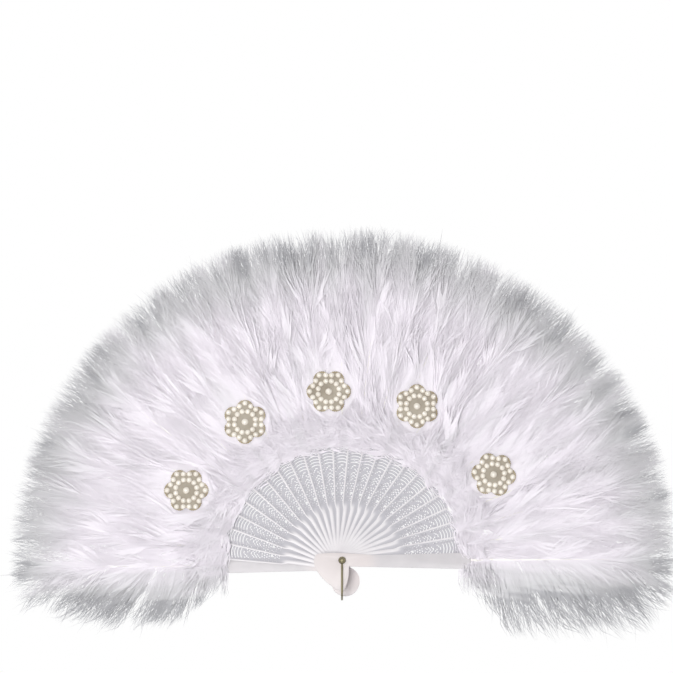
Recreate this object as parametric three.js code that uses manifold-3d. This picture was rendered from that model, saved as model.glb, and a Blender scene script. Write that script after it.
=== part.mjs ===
// Folding feather fan, open to a half circle and held upright, facing -Y.
// Millimetres, +Z up. The origin is on the rivet's axis, in the middle of the stack of sticks.
// A stick's own frame has +X along the stick, +Z to its left as seen from the front, and -Y to the front.
import * as THREE from "three";
import { mergeVertices } from "three/addons/utils/BufferGeometryUtils.js";
import Module from "manifold-3d";

const wasm = await Module();
wasm.setup();

// Driving dimensions: the whole fan
const STICK_COUNT = 25; // two guards and the pierced sticks between them
const OPEN_ANGLE = Math.PI; // from guard to guard, with the ribbon taut
const FAN_RADIUS = 261; // from the rivet to the end plumes' tips
const CROWN_STRETCH = 0.05; // how much longer the vanes grow towards the middle of the fan

// Driving dimensions: sticks and guards
const STICK_THICKNESS = 0.9;
const STICK_GAP = 0.2; // running gap between two sticks on the rivet
const GUARD_THICKNESS = 2;
const HEAD_RADIUS = 6.5; // round head of a stick, about the rivet
const GORGE_START = 8; // the plain shank from the head to the pierced blade
const GORGE_END = 42;
const GORGE_HALF = 4.5;
const BLADE_START = 48;
const BLADE_END = 91;
const BLADE_START_HALF = 6;
const BLADE_END_HALF = 7.9;
const SHOULDER = 95; // the blade's rounded end
const TANG_START = 96; // the narrow tang that the quill is glued beside
const TANG_END = 102;
const TANG_HALF_GAP = 0.15; // half the glue line between tang and quill
const TANG_WIDTH = 3;
const GUARD_GORGE_HALF = 4.4;
const GUARD_END_HALF = 6.2;
const GUARD_COVER_END = 101.5; // a guard's outer layer runs on over the quill's root
const GUARD_COVER_THICKNESS = 0.9;
const GUARD_CURVE_STEPS = 10; // straight steps in each curve of a guard's head
const BORE_RADIUS = 1.9;
const BORE_SIDES = 8;

// Driving dimensions: chevrons pierced through each blade
const CHEVRON_COUNT = 5;
const CHEVRON_FIRST = 55; // tip of the innermost chevron
const CHEVRON_PITCH = 7.8;
const CHEVRON_DROP = 3; // how far its arms fall back
const CHEVRON_WIDTH = 1.9; // measured along the stick
const CHEVRON_MARGIN = 1.7; // solid rim left beside its arms

// Driving dimensions: plumes
const PLUME_START = 96.7;
const PLUME_THICKNESS = 0.8; // at the shaft; the vanes thin out to their edges
const END_PUFF = 4.5; // how far the down swells on the fan's front and back faces
const ROSETTE_PUFF = 3; // how far it swells beyond a rosette, in the room that the rosette leaves
const FLARE_START = 102.6; // where the plumes part to make room for the rosettes
const FLARE_END = 119.5;
const END_DROOP = 56; // how far the two end plumes fall below their guards

// Driving dimensions: pearl rosettes
const ROSETTE_STICKS = [4, 8, 12, 16, 21];
const ROSETTE_TURNS = [4.1, 4.1, 4.4, 4.4, 7.2]; // degrees to the left of each carrying stick
const ROSETTE_DISTANCE = 138; // from the rivet to a rosette's centre
const ROSETTE_RADIUS = 18;
const ROSETTE_BACKING = 0.8;
const ROSETTE_HEIGHT = 3;
const PETAL_COUNT = 6;
const PEARL_RADIUS = 2.15;
const PEARL_HEIGHT = 2.6; // from the backing's back face
const LARGE_PEARL_RADIUS = 3.2;
const EDGE_PEARLS = [
  [1 / 6, 13.4],
  [1 / 2, 15.2],
  [5 / 6, 13.4],
]; // share of a petal's turn, and distance from the rosette's centre
const INNER_PEARL_DISTANCE = 8.6;
const FACE_GAP = 0.3; // between pieces that lie on one another

// Driving dimensions: rivet, bail and ribbon
const SHANK_RADIUS = 1.5;
const RIVET_HEAD_RADIUS = 3;
const RIVET_HEAD_HEIGHT = 1.25;
const WIRE_RADIUS = 0.8;
const BAIL_DROP = 27.5; // from the rivet to the middle of the bail's cross bar
const BAIL_CORNER = 3;
const EYE_OUTER = 2.8;
const EYE_THICKNESS = 1;
const RIBBON_INNER = 97;
const RIBBON_OUTER = 101;
const RIBBON_THICKNESS = 0.3;
const RIBBON_LEAD = 1.25; // how far the ribbon runs in front of each tang

// Sizes that follow from these
const STEP_ANGLE = OPEN_ANGLE / (STICK_COUNT - 1);
const LAYER_PITCH = STICK_THICKNESS + STICK_GAP;
const LAST = STICK_COUNT - 1;
const FLARE_STEP = ROSETTE_HEIGHT + 2 * FACE_GAP - STICK_GAP;
const GUARD_INNER_FACE = (LAST / 2 - 1) * LAYER_PITCH + STICK_THICKNESS / 2 + STICK_GAP;
const GUARD_OUTER_FACE = GUARD_INNER_FACE + GUARD_THICKNESS;
const EYE_INNER_FACE = GUARD_OUTER_FACE + FACE_GAP;
const LEG_DEPTH = EYE_INNER_FACE + WIRE_RADIUS;
const RIVET_HEAD_FACE = LEG_DEPTH + WIRE_RADIUS + FACE_GAP;

const stickAngle = (index) => OPEN_ANGLE - index * STEP_ANGLE;
const layerDepth = (index) => (LAST / 2 - index) * LAYER_PITCH;

// Materials
const plastic = new THREE.MeshStandardMaterial({ color: 0xf0eef0, roughness: 0.35, metalness: 0 });
const feather = new THREE.MeshStandardMaterial({ color: 0xf2eef4, roughness: 0.95, metalness: 0 });
const pearl = new THREE.MeshStandardMaterial({ color: 0xeee4d0, roughness: 0.25, metalness: 0 });
const brass = new THREE.MeshStandardMaterial({ color: 0xb8954a, roughness: 0.3, metalness: 1 });
const satin = new THREE.MeshStandardMaterial({ color: 0xf5f3f5, roughness: 0.5, metalness: 0 });

// Booleans
function solidOf(geometry) {
  const bare = geometry.clone();
  bare.deleteAttribute("normal");
  bare.deleteAttribute("uv");
  const merged = mergeVertices(bare, 1e-4);
  const mesh = new wasm.Mesh({
    numProp: 3,
    vertProperties: merged.attributes.position.array,
    triVerts: new Uint32Array(merged.index.array),
  });
  return new wasm.Manifold(mesh);
}

function geometryOf(solid) {
  const mesh = solid.getMesh();
  const geometry = new THREE.BufferGeometry();
  geometry.setAttribute("position", new THREE.BufferAttribute(mesh.vertProperties, 3));
  geometry.setIndex(new THREE.BufferAttribute(mesh.triVerts, 1));
  geometry.computeVertexNormals();
  return geometry;
}

const joined = (geometries) => geometryOf(geometries.map(solidOf).reduce((all, next) => all.add(next)));

// A flat outline in the stick's frame, as a plate from one depth to a nearer one
function plate(shape, backDepth, thickness, curveSegments = 4) {
  const settings = { depth: thickness, bevelEnabled: false, curveSegments };
  const geometry = new THREE.ExtrudeGeometry(shape, settings);
  return geometry.rotateX(Math.PI / 2).translate(0, backDepth, 0);
}

// A closed skin over rings of points, each ring with as many points as the next
function loft(rings) {
  const sides = rings[0].length;
  const positions = rings.flat(2);
  const triangles = [];
  for (let ring = 0; ring + 1 < rings.length; ring++) {
    for (let side = 0; side < sides; side++) {
      const here = ring * sides + side;
      const beside = ring * sides + ((side + 1) % sides);
      triangles.push(here, beside, here + sides, beside, beside + sides, here + sides);
    }
  }
  const lastRing = (rings.length - 1) * sides;
  for (let side = 1; side + 1 < sides; side++) {
    triangles.push(0, side + 1, side);
    triangles.push(lastRing, lastRing + side, lastRing + side + 1);
  }
  const geometry = new THREE.BufferGeometry();
  geometry.setAttribute("position", new THREE.Float32BufferAttribute(positions, 3));
  geometry.setIndex(triangles);
  return geometry;
}

function polygonHole(radius, sides) {
  const hole = new THREE.Path();
  for (let side = 0; side < sides; side++) {
    const turn = (side / sides) * 2 * Math.PI;
    if (side === 0) hole.moveTo(radius, 0);
    else hole.lineTo(radius * Math.cos(turn), radius * Math.sin(turn));
  }
  hole.closePath();
  return hole;
}

// Sticks: a round head on the rivet, a plain gorge, a pierced blade and a tang
function bladeEnd(shape, endHalf, tangEnd) {
  shape.lineTo(BLADE_END, endHalf);
  shape.quadraticCurveTo(SHOULDER, endHalf, TANG_START, -TANG_HALF_GAP);
  if (tangEnd > TANG_START) {
    shape.lineTo(tangEnd, -TANG_HALF_GAP);
    shape.lineTo(tangEnd, -TANG_HALF_GAP - TANG_WIDTH * 0.8);
  }
  shape.lineTo(TANG_START, -TANG_HALF_GAP - TANG_WIDTH);
  shape.quadraticCurveTo(SHOULDER, -endHalf, BLADE_END, -endHalf);
}

function chevron(tip) {
  const share = (tip - CHEVRON_DROP - BLADE_START) / (BLADE_END - BLADE_START);
  const half = BLADE_START_HALF + share * (BLADE_END_HALF - BLADE_START_HALF) - CHEVRON_MARGIN;
  const hole = new THREE.Path();
  hole.moveTo(tip, 0);
  hole.lineTo(tip - CHEVRON_DROP, -half);
  hole.lineTo(tip - CHEVRON_DROP + CHEVRON_WIDTH, -half);
  hole.lineTo(tip + CHEVRON_WIDTH, 0);
  hole.lineTo(tip - CHEVRON_DROP + CHEVRON_WIDTH, half);
  hole.lineTo(tip - CHEVRON_DROP, half);
  hole.closePath();
  return hole;
}

function stickShape() {
  const headTurn = Math.atan2(GORGE_HALF * 0.9, GORGE_START * 0.6);
  const shape = new THREE.Shape();
  shape.moveTo(GORGE_START, GORGE_HALF * 0.95);
  shape.lineTo(GORGE_END, GORGE_HALF);
  shape.lineTo(BLADE_START, BLADE_START_HALF);
  bladeEnd(shape, BLADE_END_HALF, TANG_END);
  shape.lineTo(BLADE_START, -BLADE_START_HALF);
  shape.lineTo(GORGE_END, -GORGE_HALF);
  shape.lineTo(GORGE_START, -GORGE_HALF * 0.95);
  shape.absarc(0, 0, HEAD_RADIUS, -headTurn, headTurn, true);
  shape.closePath();
  shape.holes.push(polygonHole(BORE_RADIUS, BORE_SIDES));
  for (let row = 0; row < CHEVRON_COUNT; row++) {
    shape.holes.push(chevron(CHEVRON_FIRST + row * CHEVRON_PITCH));
  }
  return shape;
}

// Guards: plain tapered outer sticks whose heads swell into a leaf below the rivet
function frontGuardShape() {
  const shape = new THREE.Shape();
  shape.moveTo(GORGE_START * 3, GUARD_GORGE_HALF);
  bladeEnd(shape, GUARD_END_HALF, TANG_START);
  shape.lineTo(GORGE_START * 3, -GUARD_GORGE_HALF);
  shape.lineTo(5.5, -4.4);
  shape.quadraticCurveTo(5.5, -18, 0.5, -24.6);
  shape.quadraticCurveTo(-12, -20, -20.5, -7);
  shape.quadraticCurveTo(-24, 1, -20, 5.2);
  shape.quadraticCurveTo(-8, 7.4, GORGE_START * 3, GUARD_GORGE_HALF);
  shape.holes.push(polygonHole(BORE_RADIUS, BORE_SIDES));
  return shape;
}

function rearGuardShape() {
  const shape = new THREE.Shape();
  shape.moveTo(GORGE_START * 3, GUARD_GORGE_HALF);
  bladeEnd(shape, GUARD_END_HALF, TANG_START);
  shape.lineTo(GORGE_START * 3, -GUARD_GORGE_HALF);
  shape.lineTo(0, -HEAD_RADIUS * 0.9);
  shape.quadraticCurveTo(-6.5, -6.2, -6.6, 2);
  shape.quadraticCurveTo(-15.4, 6, -13.8, 15.5);
  shape.quadraticCurveTo(-11, 25, -1.5, 24.8);
  shape.quadraticCurveTo(9, 23, 8.4, 11);
  shape.quadraticCurveTo(9, 5.2, GORGE_START * 3, GUARD_GORGE_HALF);
  shape.holes.push(polygonHole(BORE_RADIUS, BORE_SIDES));
  return shape;
}

// A guard's tang is as thin as a stick's, against the stack, and its outer layer covers the quill's root.
function guardGeometry(shape, backDepth, tangBackDepth, coverBackDepth) {
  const tang = new THREE.Shape();
  tang.moveTo(BLADE_END, -TANG_HALF_GAP);
  tang.lineTo(TANG_END, -TANG_HALF_GAP);
  tang.lineTo(TANG_END, -TANG_HALF_GAP - TANG_WIDTH * 0.8);
  tang.lineTo(BLADE_END, -TANG_HALF_GAP - TANG_WIDTH);
  const cover = new THREE.Shape();
  cover.moveTo(BLADE_END - 1, GUARD_END_HALF);
  cover.lineTo(GUARD_COVER_END - 3, GUARD_END_HALF);
  cover.lineTo(GUARD_COVER_END, GUARD_END_HALF * 0.5);
  cover.lineTo(GUARD_COVER_END, -GUARD_END_HALF * 0.5);
  cover.lineTo(GUARD_COVER_END - 3, -GUARD_END_HALF);
  cover.lineTo(BLADE_END - 1, -GUARD_END_HALF);
  return joined([
    plate(shape, backDepth, GUARD_THICKNESS, GUARD_CURVE_STEPS),
    plate(tang, tangBackDepth, STICK_THICKNESS),
    plate(cover, coverBackDepth, GUARD_COVER_THICKNESS),
  ]);
}

// Plumes: a thin vane on each side of a shaft, with its quill glued beside the stick's tang.
// Each entry is a distance from the rivet and the vane's widths to the left and right of the shaft.
const plumeStart = [
  [PLUME_START, 2.6, -TANG_HALF_GAP],
  [TANG_END + TANG_HALF_GAP, 4.6, -TANG_HALF_GAP],
  [FLARE_START, 5, 5],
];
const plumeVane = [
  [108, 7, 11],
  [113.5, 8.5, 15],
  [FLARE_END, 9, 18],
  [140, 9.5, 23],
  [158, 10, 27],
  [176, 23, 30],
  [196, 30, 31],
  [224, 29, 29],
  [243, 23, 23],
  [255, 14, 14],
  [FAN_RADIUS, 5, 5],
];
// The outer vane of the two end plumes droops below its guard.
const droop = [0.25, 0.45, 0.65, 0.9, 1, 1, 0.97, 0.84, 0.55, 0.3, 0.1].map((share) => share * END_DROOP);

// How much of its swelling the down has at each of these distances
const endPuff = [0, 0, 0.4, 0.75, 0.9, 1, 1, 1, 0.8, 0.5, 0.1].map((share) => share * END_PUFF);
const rosettePuff = [0, 0, 0, 0, 0, 0.6, 1, 1, 0.8, 0.5, 0.1].map((share) => share * ROSETTE_PUFF);

function flareDepth(index, distance) {
  const rosettesBehind = ROSETTE_STICKS.filter((carrier) => carrier < index).length;
  const fullFlare = (rosettesBehind - ROSETTE_STICKS.length / 2) * FLARE_STEP;
  return layerDepth(index) - fullFlare * THREE.MathUtils.smoothstep(distance, FLARE_START, FLARE_END);
}

function plumeGeometry(index) {
  const stretch = 1 + CROWN_STRETCH * Math.sin(stickAngle(index));
  const vane = plumeVane.map(([distance, left, right], row) => [
    distance <= FLARE_END ? distance : FLARE_END + (distance - FLARE_END) * stretch,
    index === 0 ? droop[row] : left,
    index === LAST ? droop[row] : right,
    index === LAST ? endPuff[row] : ROSETTE_STICKS.includes(index) ? rosettePuff[row] : 0,
    index === 0 ? endPuff[row] : 0,
  ]);
  const half = PLUME_THICKNESS / 2;
  const rings = [...plumeStart, ...vane].map(([distance, left, right, front = 0, back = 0]) => {
    const depth = flareDepth(index, distance);
    const shaft = right < 0 ? (left - right) / 2 : 0;
    const leftCrest = shaft + 0.45 * (left - shaft);
    const rightCrest = shaft - 0.45 * (right + shaft);
    return [
      [distance, depth, left],
      [distance, depth - half - front, leftCrest],
      [distance, depth - half - front, rightCrest],
      [distance, depth, -right],
      [distance, depth + half + back, rightCrest],
      [distance, depth + half + back, leftCrest],
    ];
  });
  return loft(rings);
}

// Pearl rosette: domed pearls on a six-petalled backing, with its back face at depth 0
function rosetteGeometry() {
  const outline = new THREE.Shape();
  const valley = ROSETTE_RADIUS * 0.72;
  const petalTurn = (2 * Math.PI) / PETAL_COUNT;
  const at = (radius, turn) => [radius * Math.cos(turn), radius * Math.sin(turn)];
  outline.moveTo(...at(valley, 0));
  for (let petal = 0; petal < PETAL_COUNT; petal++) {
    const start = petal * petalTurn;
    const reach = ROSETTE_RADIUS * 1.16;
    outline.bezierCurveTo(
      ...at(reach, start + petalTurn * 0.14),
      ...at(reach, start + petalTurn * 0.86),
      ...at(valley, start + petalTurn),
    );
  }
  const pieces = [plate(outline, 0, ROSETTE_BACKING)];
  const addPearl = (radius, distance, turn, height) => {
    const profile = [
      [0, -height],
      [radius * 0.72, ROSETTE_BACKING * 0.3 - height * 0.85],
      [radius, -ROSETTE_BACKING],
      [radius * 0.7, -ROSETTE_BACKING / 2],
      [0, -ROSETTE_BACKING / 2],
    ];
    const dome = new THREE.LatheGeometry(profile.map(([out, depth]) => new THREE.Vector2(out, depth)), 6);
    const [x, z] = at(distance, turn);
    pieces.push(dome.translate(x, 0, z));
  };
  addPearl(LARGE_PEARL_RADIUS, 0, 0, ROSETTE_HEIGHT);
  for (let petal = 0; petal < PETAL_COUNT; petal++) {
    for (const [share, distance] of EDGE_PEARLS) {
      addPearl(PEARL_RADIUS, distance, (petal + share) * petalTurn, PEARL_HEIGHT);
    }
    for (const share of [0.25, 0.75]) {
      addPearl(PEARL_RADIUS, INNER_PEARL_DISTANCE, (petal + share) * petalTurn, PEARL_HEIGHT);
    }
  }
  return joined(pieces);
}

// Rivet: a brass shank with its head at the back, closed by a cap at the front
function rivetGeometry() {
  const shankEnd = -RIVET_HEAD_FACE - RIVET_HEAD_HEIGHT * 0.7;
  const profile = [
    [0, shankEnd],
    [SHANK_RADIUS, shankEnd],
    [SHANK_RADIUS, RIVET_HEAD_FACE],
    [RIVET_HEAD_RADIUS, RIVET_HEAD_FACE],
    [RIVET_HEAD_RADIUS * 0.75, RIVET_HEAD_FACE + RIVET_HEAD_HEIGHT],
    [0, RIVET_HEAD_FACE + RIVET_HEAD_HEIGHT],
  ];
  return new THREE.LatheGeometry(profile.map(([radius, depth]) => new THREE.Vector2(radius, depth)), 12);
}

function rivetCapGeometry() {
  const inner = SHANK_RADIUS + FACE_GAP;
  const profile = [
    [inner, -RIVET_HEAD_FACE],
    [inner, -RIVET_HEAD_FACE - RIVET_HEAD_HEIGHT],
    [RIVET_HEAD_RADIUS * 0.75, -RIVET_HEAD_FACE - RIVET_HEAD_HEIGHT],
    [RIVET_HEAD_RADIUS, -RIVET_HEAD_FACE],
    [inner, -RIVET_HEAD_FACE],
  ];
  return new THREE.LatheGeometry(profile.map(([radius, depth]) => new THREE.Vector2(radius, depth)), 12);
}

// Bail: a brass wire stirrup that swings on the rivet's two ends and passes under the heads
function bailGeometry() {
  const point = (depth, height) => new THREE.Vector3(0, depth, height);
  const legTop = -(BORE_RADIUS + EYE_OUTER) / 2;
  const path = new THREE.CurvePath();
  const turnDepth = LEG_DEPTH - BAIL_CORNER;
  const turnHeight = -BAIL_DROP + BAIL_CORNER;
  path.add(new THREE.LineCurve3(point(-LEG_DEPTH, legTop), point(-LEG_DEPTH, turnHeight)));
  path.add(
    new THREE.QuadraticBezierCurve3(
      point(-LEG_DEPTH, turnHeight),
      point(-LEG_DEPTH, -BAIL_DROP),
      point(-turnDepth, -BAIL_DROP),
    ),
  );
  path.add(new THREE.LineCurve3(point(-turnDepth, -BAIL_DROP), point(turnDepth, -BAIL_DROP)));
  path.add(
    new THREE.QuadraticBezierCurve3(
      point(turnDepth, -BAIL_DROP),
      point(LEG_DEPTH, -BAIL_DROP),
      point(LEG_DEPTH, turnHeight),
    ),
  );
  path.add(new THREE.LineCurve3(point(LEG_DEPTH, turnHeight), point(LEG_DEPTH, legTop)));
  const section = new THREE.Shape();
  section.absarc(0, 0, WIRE_RADIUS, 0, 2 * Math.PI);
  const wire = new THREE.ExtrudeGeometry(section, { extrudePath: path, steps: 28, curveSegments: 4 });
  const eyeShape = new THREE.Shape();
  eyeShape.absarc(0, 0, EYE_OUTER, 0, 2 * Math.PI);
  eyeShape.holes.push(polygonHole(BORE_RADIUS, BORE_SIDES));
  const frontEye = plate(eyeShape, -EYE_INNER_FACE, EYE_THICKNESS);
  const rearEye = plate(eyeShape, EYE_INNER_FACE + EYE_THICKNESS, EYE_THICKNESS);
  return joined([wire, frontEye, rearEye]);
}

// Ribbon: glued across the front of every tang up to the front guard, it stops the fan's opening
function ribbonGeometry() {
  const rings = [];
  const middle = (RIBBON_INNER + RIBBON_OUTER) / 2;
  const overlap = TANG_WIDTH / middle;
  const ringAt = (angle) => {
    const depth = layerDepth((OPEN_ANGLE - angle) / STEP_ANGLE) - RIBBON_LEAD;
    const corner = (distance, y) => [distance * Math.cos(angle), y, distance * Math.sin(angle)];
    rings.push([
      corner(RIBBON_INNER, depth - RIBBON_THICKNESS / 2),
      corner(RIBBON_OUTER, depth - RIBBON_THICKNESS / 2),
      corner(RIBBON_OUTER, depth + RIBBON_THICKNESS / 2),
      corner(RIBBON_INNER, depth + RIBBON_THICKNESS / 2),
    ]);
  };
  ringAt((GUARD_END_HALF + 1) / middle);
  for (let index = LAST - 1; index >= 0; index--) ringAt(stickAngle(index));
  ringAt(OPEN_ANGLE + overlap);
  return loft(rings);
}

// Assembly
const fan = new THREE.Group();

function addMesh(parent, name, geometry, material) {
  const mesh = new THREE.Mesh(geometry, material);
  mesh.name = name;
  parent.add(mesh);
  return mesh;
}

const twoDigits = (index) => String(index).padStart(2, "0");
const innerStick = stickShape();
const rosette = rosetteGeometry();

for (let index = 0; index < STICK_COUNT; index++) {
  const turned = new THREE.Group();
  turned.rotation.y = -stickAngle(index);
  fan.add(turned);
  if (index === 0) {
    const tangBack = GUARD_INNER_FACE + STICK_THICKNESS;
    const back = GUARD_OUTER_FACE;
    addMesh(turned, "guard_rear", guardGeometry(rearGuardShape(), back, tangBack, back), plastic);
  } else if (index === LAST) {
    const back = -GUARD_INNER_FACE;
    const coverBack = GUARD_COVER_THICKNESS - GUARD_OUTER_FACE;
    addMesh(turned, "guard_front", guardGeometry(frontGuardShape(), back, back, coverBack), plastic);
  } else {
    const back = layerDepth(index) + STICK_THICKNESS / 2;
    addMesh(turned, `stick_${twoDigits(index)}`, plate(innerStick, back, STICK_THICKNESS), plastic);
  }
  addMesh(turned, `plume_${twoDigits(index)}`, plumeGeometry(index), feather);
  const carried = ROSETTE_STICKS.indexOf(index);
  if (carried >= 0) {
    const turn = THREE.MathUtils.degToRad(ROSETTE_TURNS[carried]);
    const mesh = addMesh(turned, `pearl_rosette_${carried + 1}`, rosette, pearl);
    const back = flareDepth(index, FLARE_END) - PLUME_THICKNESS / 2 - FACE_GAP;
    mesh.position.set(ROSETTE_DISTANCE * Math.cos(turn), back, ROSETTE_DISTANCE * Math.sin(turn));
  }
}
addMesh(fan, "ribbon", ribbonGeometry(), satin);
addMesh(fan, "rivet", rivetGeometry(), brass);
addMesh(fan, "rivet_cap", rivetCapGeometry(), brass);
addMesh(fan, "bail", bailGeometry(), brass);

export default fan;
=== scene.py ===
"""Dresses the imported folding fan: pierced sticks, marabou plumes, pearl rosettes and brass fittings."""
import math

import bmesh
import bpy
import numpy as np
from mathutils import Matrix, Vector


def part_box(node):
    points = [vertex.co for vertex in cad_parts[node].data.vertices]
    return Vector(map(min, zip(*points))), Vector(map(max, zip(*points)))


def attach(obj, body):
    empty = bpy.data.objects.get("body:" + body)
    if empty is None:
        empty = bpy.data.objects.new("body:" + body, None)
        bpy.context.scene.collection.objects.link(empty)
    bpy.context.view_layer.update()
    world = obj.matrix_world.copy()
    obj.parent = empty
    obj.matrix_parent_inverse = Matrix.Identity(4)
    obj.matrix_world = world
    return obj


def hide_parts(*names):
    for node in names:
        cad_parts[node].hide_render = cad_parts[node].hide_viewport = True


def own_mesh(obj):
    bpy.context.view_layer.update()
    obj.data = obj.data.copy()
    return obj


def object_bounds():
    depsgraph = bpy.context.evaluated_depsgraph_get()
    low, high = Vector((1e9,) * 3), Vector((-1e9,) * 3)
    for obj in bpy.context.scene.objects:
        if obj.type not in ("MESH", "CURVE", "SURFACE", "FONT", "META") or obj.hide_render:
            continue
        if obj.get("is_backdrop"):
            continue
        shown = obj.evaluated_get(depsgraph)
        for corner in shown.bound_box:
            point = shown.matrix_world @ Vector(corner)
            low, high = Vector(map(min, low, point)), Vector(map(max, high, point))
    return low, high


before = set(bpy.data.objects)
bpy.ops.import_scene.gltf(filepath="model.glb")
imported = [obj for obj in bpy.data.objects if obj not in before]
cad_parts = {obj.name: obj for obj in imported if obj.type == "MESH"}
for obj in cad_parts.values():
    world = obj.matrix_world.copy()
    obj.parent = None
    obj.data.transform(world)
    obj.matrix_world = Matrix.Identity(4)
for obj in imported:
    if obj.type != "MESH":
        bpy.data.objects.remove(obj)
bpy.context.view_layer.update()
scene = bpy.context.scene
scene.view_settings.view_transform = "Standard"

# Camera: in front of the open fan and a little below it, with the rivet low in the middle of the picture.
# The picture is square, and one pixel of it covers about 0.79 mm of the fan.
MM = 0.001
PICTURE_SIDE = 673
PIXEL = 0.7914 * MM
RIVET_PIXEL = (342, 563)
CAMERA_DISTANCE = 3.6
CAMERA_TILT = math.radians(10)

camera_data = bpy.data.cameras.new("camera")
camera_data.sensor_width = 36
camera_data.lens = camera_data.sensor_width * CAMERA_DISTANCE / (PICTURE_SIDE * PIXEL)
camera = bpy.data.objects.new("camera", camera_data)
picture_middle = Vector((PICTURE_SIDE / 2 - RIVET_PIXEL[0], 0, RIVET_PIXEL[1] - PICTURE_SIDE / 2)) * PIXEL
camera.location = Matrix.Rotation(CAMERA_TILT, 3, "X") @ (picture_middle - Vector((0, CAMERA_DISTANCE, 0)))
camera.rotation_euler.x = math.pi / 2 + CAMERA_TILT
scene.collection.objects.link(camera)
scene.camera = camera

# Studio: a white room with a soft lamp beside the camera, a weaker one high at its left and one behind.
# The fan is held up in the hand, so the pale floor lies well below it and takes a soft shadow.
FLOOR_DROP = 0.75
FLOOR_HALF = 2
FLOOR_GLOW = 0.7
ROOM_STRENGTH = 0.26
FAN_MIDDLE = Vector((0, 0, 0.1))


def nodes_of(owner):
    """The nodes and links of a material or a world, emptied."""
    owner.use_nodes = True
    owner.node_tree.nodes.clear()
    return owner.node_tree.nodes, owner.node_tree.links


def seen_rays(nodes, links):
    """One for rays that show the background, from the camera or by way of gloss or glass, else zero."""
    ray = nodes.new("ShaderNodeLightPath")
    seen = ray.outputs["Is Camera Ray"]
    for kind in ("Is Glossy Ray", "Is Transmission Ray"):
        either = nodes.new("ShaderNodeMath")
        either.operation = "MAXIMUM"
        links.new(seen, either.inputs[0])
        links.new(ray.outputs[kind], either.inputs[1])
        seen = either.outputs[0]
    return seen


world = bpy.data.worlds.new("white_room")
scene.world = world
nodes, links = nodes_of(world)
room_light = nodes.new("ShaderNodeBackground")
room_light.inputs["Color"].default_value = (0.98, 0.98, 1.0, 1)
room_light.inputs["Strength"].default_value = ROOM_STRENGTH
room_white = nodes.new("ShaderNodeBackground")
room_white.inputs["Color"].default_value = (1, 1, 1, 1)
choose = nodes.new("ShaderNodeMixShader")
room_out = nodes.new("ShaderNodeOutputWorld")
links.new(seen_rays(nodes, links), choose.inputs[0])
links.new(room_light.outputs[0], choose.inputs[1])
links.new(room_white.outputs[0], choose.inputs[2])
links.new(choose.outputs[0], room_out.inputs["Surface"])


def add_lamp(name, place, side, watts):
    """A square soft lamp that faces the middle of the fan."""
    lamp_data = bpy.data.lights.new(name, "AREA")
    lamp_data.size = side
    lamp_data.energy = watts
    lamp = bpy.data.objects.new(name, lamp_data)
    lamp.location = place
    lamp.rotation_euler = (FAN_MIDDLE - Vector(place)).to_track_quat("-Z", "Y").to_euler()
    scene.collection.objects.link(lamp)


add_lamp("key_lamp", (-0.45, -3, -0.45), 0.7, 64)
add_lamp("relief_lamp", (-1.2, -1.6, 1.5), 0.8, 9)
add_lamp("back_lamp", (0.4, 2.0, 1.4), 1.4, 56)

bm = bmesh.new()
bmesh.ops.create_grid(bm, x_segments=1, y_segments=1, size=FLOOR_HALF)
bmesh.ops.translate(bm, verts=bm.verts, vec=(0, 0, -FLOOR_DROP))
floor_mesh = bpy.data.meshes.new("floor")
bm.to_mesh(floor_mesh)
bm.free()
floor = bpy.data.objects.new("floor", floor_mesh)
scene.collection.objects.link(floor)
floor_material = bpy.data.materials.new("pale_floor")
nodes, links = nodes_of(floor_material)
floor_paint = nodes.new("ShaderNodeBsdfDiffuse")
floor_paint.inputs["Color"].default_value = (0.9, 0.9, 0.9, 1)
floor_glow = nodes.new("ShaderNodeEmission")
floor_glow.inputs["Color"].default_value = (1, 1, 1, 1)
share = nodes.new("ShaderNodeMath")
share.operation = "MULTIPLY"
share.inputs[1].default_value = FLOOR_GLOW
choose = nodes.new("ShaderNodeMixShader")
floor_out = nodes.new("ShaderNodeOutputMaterial")
links.new(seen_rays(nodes, links), share.inputs[0])
links.new(share.outputs[0], choose.inputs[0])
links.new(floor_paint.outputs[0], choose.inputs[1])
links.new(floor_glow.outputs[0], choose.inputs[2])
links.new(choose.outputs[0], floor_out.inputs["Surface"])
floor_mesh.materials.append(floor_material)
floor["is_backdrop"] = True

# Inner sticks: white moulded plastic on one rivet. Each has a round head, a gorge with a rounded rib along
# each edge, and a blade whose thin web, pierced with dots, chevrons and arches, lies between two raised rims.
STICK_COUNT = 25
LAST = STICK_COUNT - 1
STEP_ANGLE = math.pi / LAST
LAYER_PITCH = 1.1 * MM
HEAD_RADIUS = 6.5 * MM
HEAD_END_HALF = 0.8 * MM
NECK_END = HEAD_RADIUS * 1.4
GORGE_HALF = 4.5 * MM
GORGE_END = 41 * MM
BLADE_START = 49 * MM
BLADE_END = 92.5 * MM
BLADE_START_HALF = 6 * MM
BLADE_END_HALF = 7.9 * MM
NARROWING_START = BLADE_END - 0.5 * MM
TANG_START = 95.5 * MM
TANG_END = 102 * MM
TANG_HALF = 1.3 * MM
TANG_MIDDLE = -1.55 * MM
BLADE_ROW = 0.8 * MM
STICK_SHEET = 0.45 * MM
GORGE_RIB = 0.42 * MM
RIB_MIDDLE = 0.62
RIB_HALF = 0.38
RIM_RAISE = 0.36 * MM
WEB_SHARE = 0.78
WEB_MARGIN = 1.02
RIM_CREST = (1 + WEB_SHARE) / 2
WEB_COLUMNS = 10
HOLE_INSET = 0.002
EYE_ROWS = (8, 9, 10)
DOT_ROWS = 19
CHEVRON_ROWS = 34
CHEVRON_RISE = 1.6 * MM
CHEVRON_IN = (58 * MM, 66 * MM)
CHEVRON_OUT = (72 * MM, 80 * MM)
ARCH_RISE = 3 * MM
ARCH_IN = (70 * MM, 80 * MM)
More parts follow.
